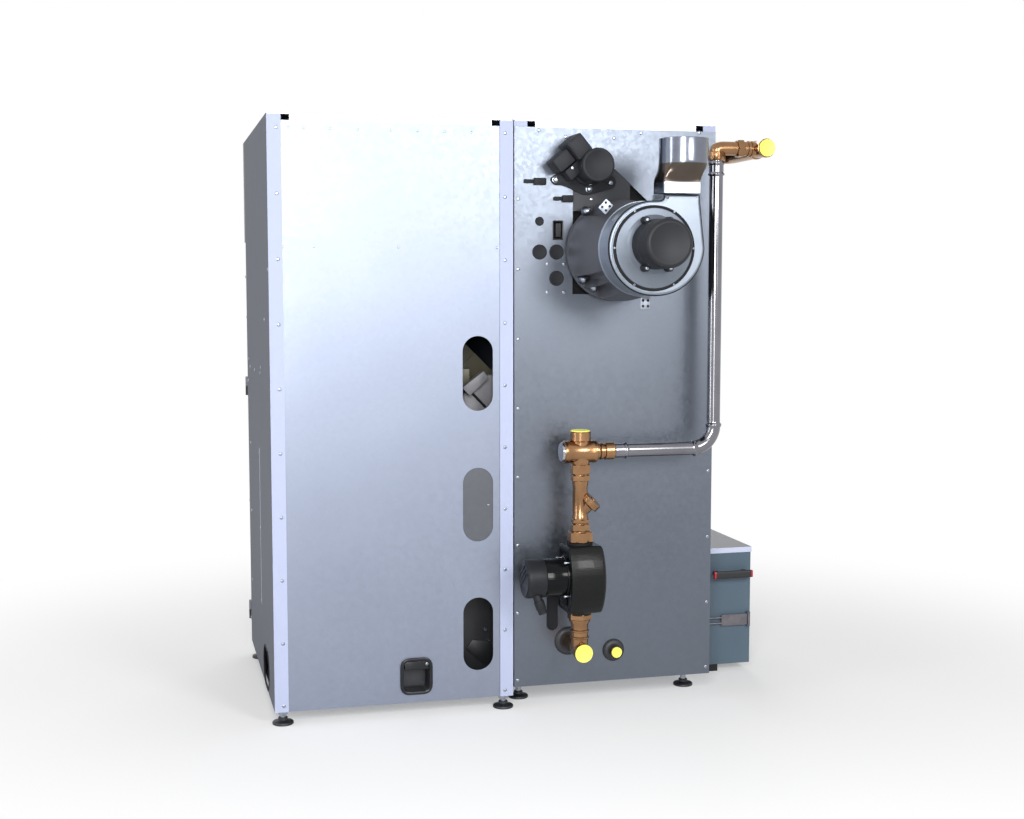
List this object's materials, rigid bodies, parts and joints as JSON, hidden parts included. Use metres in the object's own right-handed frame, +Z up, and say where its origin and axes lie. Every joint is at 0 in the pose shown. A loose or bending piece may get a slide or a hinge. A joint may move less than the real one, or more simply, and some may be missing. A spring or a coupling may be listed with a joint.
{
  "type": "pellet boiler",
  "caption": "Two-cabinet wood-pellet boiler: feed unit beside boiler, rear flue fan, return-lift pump group with bypass pipe, and a docked ash box.",
  "frame": {"origin": "middle of the overall box on the floor", "axes": "+Z up from the floor, +Y towards the back with the flue fan and pump group, -X towards the ash box"},
  "size_m": [1.3918, 1.235, 1.535],
  "materials": {
    "side_sheet": "satin",
    "rear_sheet": "satin",
    "cover_sheet": "satin",
    "fascia_plastic": "satin",
    "display_glass": "polished",
    "zinc_steel": "satin",
    "black_plastic": "matte",
    "grey_plastic": "matte",
    "boiler_plate": "matte",
    "jacket_wool": "matte",
    "cast_grey": "matte",
    "stainless": "satin",
    "die_cast": "satin",
    "motor_black": "satin",
    "bronze": "satin",
    "bright_pipe": "polished",
    "pump_coat": "satin",
    "motor_olive": "satin",
    "yellow_cap": "satin",
    "ash_sheet": "satin",
    "lid_sheet": "satin"
  },
  "bodies": {
    "cabinets": {"feed_outer_side": "side_sheet", "feed_inner_side": "side_sheet", "boiler_inner_side": "side_sheet", "boiler_outer_side": "side_sheet", "feed_base": "zinc_steel", "boiler_base": "zinc_steel", "feed_top_cover": "cover_sheet", "boiler_top_cover": "cover_sheet", "feed_rear_panel": "rear_sheet", "slot_cover": "zinc_steel", "inlet_frame": "grey_plastic", "front_fascia": "fascia_plastic", "display": "display_glass", "hinge_brackets": "zinc_steel", "levelling_feet": "zinc_steel", "pellet_hopper": "zinc_steel", "feed_auger_tube": "stainless", "gear_motors": "motor_olive", "rotary_valve_housing": "die_cast", "suction_turbine": "black_plastic", "boiler_body": "boiler_plate", "firebox_cover": "boiler_plate", "insulation_jacket": "jacket_wool", "burner_pot": "cast_grey", "actuator_plate": "grey_plastic", "cleaning_actuator": "black_plastic", "boiler_rear_panel": "rear_sheet", "cable_fittings": "black_plastic", "fan_mount": "grey_plastic", "fan_volute": "die_cast", "fan_cover": "zinc_steel", "fan_motor": "motor_black", "fasteners": "zinc_steel", "flue_adapter": "stainless", "pump_housing": "pump_coat", "pump_motor": "motor_black", "union_nuts": "bronze", "strainer": "bronze", "mixing_valve": "bronze", "bypass_pipe": "bright_pipe", "flow_tee": "bronze", "return_fittings": "bronze", "wall_rosettes": "black_plastic", "port_caps": "yellow_cap"},
    "feed_door": {"feed_door": "side_sheet"},
    "boiler_door": {"boiler_door": "side_sheet"},
    "inlet_flap": {"inlet_flap": "black_plastic"},
    "rotary_valve_rotor": {"rotary_valve_rotor": "cast_grey"},
    "feed_auger": {"feed_auger": "stainless"},
    "grate": {"grate": "cast_grey"},
    "ash_auger": {"ash_auger": "stainless"},
    "turbulators": {"turbulators": "stainless"},
    "cleaning_crank": {"cleaning_crank": "stainless"},
    "fan_impeller": {"fan_impeller": "stainless"},
    "pump_rotor": {"pump_rotor": "stainless"},
    "mains_rocker": {"mains_rocker": "black_plastic"},
    "ash_box": {"ash_box": "ash_sheet", "ash_grips": "black_plastic"},
    "ash_lid": {"ash_lid": "lid_sheet"},
    "ash_latch": {"ash_latch": "zinc_steel"}
  },
  "joints": [
    {"name": "feed_door_hinge", "type": "hinge", "parent": "cabinets", "child": "feed_door", "pos_m": [0.6899, -0.6025, 0.468], "axis": [0, 0, 1], "range_deg": [0, 110]},
    {"name": "boiler_door_hinge", "type": "hinge", "parent": "cabinets", "child": "boiler_door", "pos_m": [-0.4851, -0.6025, 0.468], "axis": [0, 0, -1], "range_deg": [0, 110]},
    {"name": "inlet_flap_hinge", "type": "hinge", "parent": "cabinets", "child": "inlet_flap", "pos_m": [0.3264, 0.1575, 0.1185], "axis": [-1, 0, 0], "range_deg": [0, 60]},
    {"name": "feed_auger_spin", "type": "hinge", "parent": "cabinets", "child": "feed_auger", "pos_m": [0.5564, 0.0075, 0.46], "axis": [-0.7071, 0, 0.7071], "continuous": true},
    {"name": "rotary_valve_spin", "type": "hinge", "parent": "cabinets", "child": "rotary_valve_rotor", "pos_m": [0.1814, 0.0075, 0.712], "axis": [0, 1, 0], "continuous": true},
    {"name": "grate_slide", "type": "slide", "parent": "cabinets", "child": "grate", "axis": [0, -1, 0], "range_m": [0, 0.06]},
    {"name": "ash_auger_spin", "type": "hinge", "parent": "cabinets", "child": "ash_auger", "pos_m": [-0.2336, -0.2275, 0.262], "axis": [1, 0, 0], "continuous": true},
    {"name": "crank_turn", "type": "hinge", "parent": "cabinets", "child": "cleaning_crank", "pos_m": [-0.1316, 0.1375, 1.38], "axis": [0, 1, 0], "range_deg": [0, 34]},
    {"name": "turbulator_lift", "type": "slide", "parent": "cabinets", "child": "turbulators", "axis": [0, 0, 1], "range_m": [0, 0.0295]},
    {"name": "impeller_spin", "type": "hinge", "parent": "cabinets", "child": "fan_impeller", "pos_m": [-0.2016, 0.4725, 1.212], "axis": [0, 1, 0], "continuous": true},
    {"name": "pump_rotor_spin", "type": "hinge", "parent": "cabinets", "child": "pump_rotor", "pos_m": [-0.0636, 0.2975, 0.367], "axis": [1, 0, 0], "continuous": true},
    {"name": "rocker_tilt", "type": "hinge", "parent": "cabinets", "child": "mains_rocker", "pos_m": [-0.0516, 0.1975, 1.256], "axis": [1, 0, 0], "range_deg": [-7, 7]},
    {"name": "ash_box_slide", "type": "slide", "parent": "cabinets", "child": "ash_box", "axis": [-1, 0, 0], "range_m": [0, 0.4]},
    {"name": "ash_lid_lift", "type": "slide", "parent": "ash_box", "child": "ash_lid", "axis": [0, 0, 1], "range_m": [0, 0.25]},
    {"name": "ash_latch_hinge", "type": "hinge", "parent": "ash_box", "child": "ash_latch", "pos_m": [-0.6856, 0.0065, 0.152], "axis": [0, 0, 1], "range_deg": [0, 100]}
  ],
  "couplings": [
    {"joint": "rotary_valve_spin", "follows": "feed_auger_spin", "ratio": 0.5},
    {"joint": "crank_turn", "follows": "turbulator_lift", "rad_per_m": 20}
  ]
}
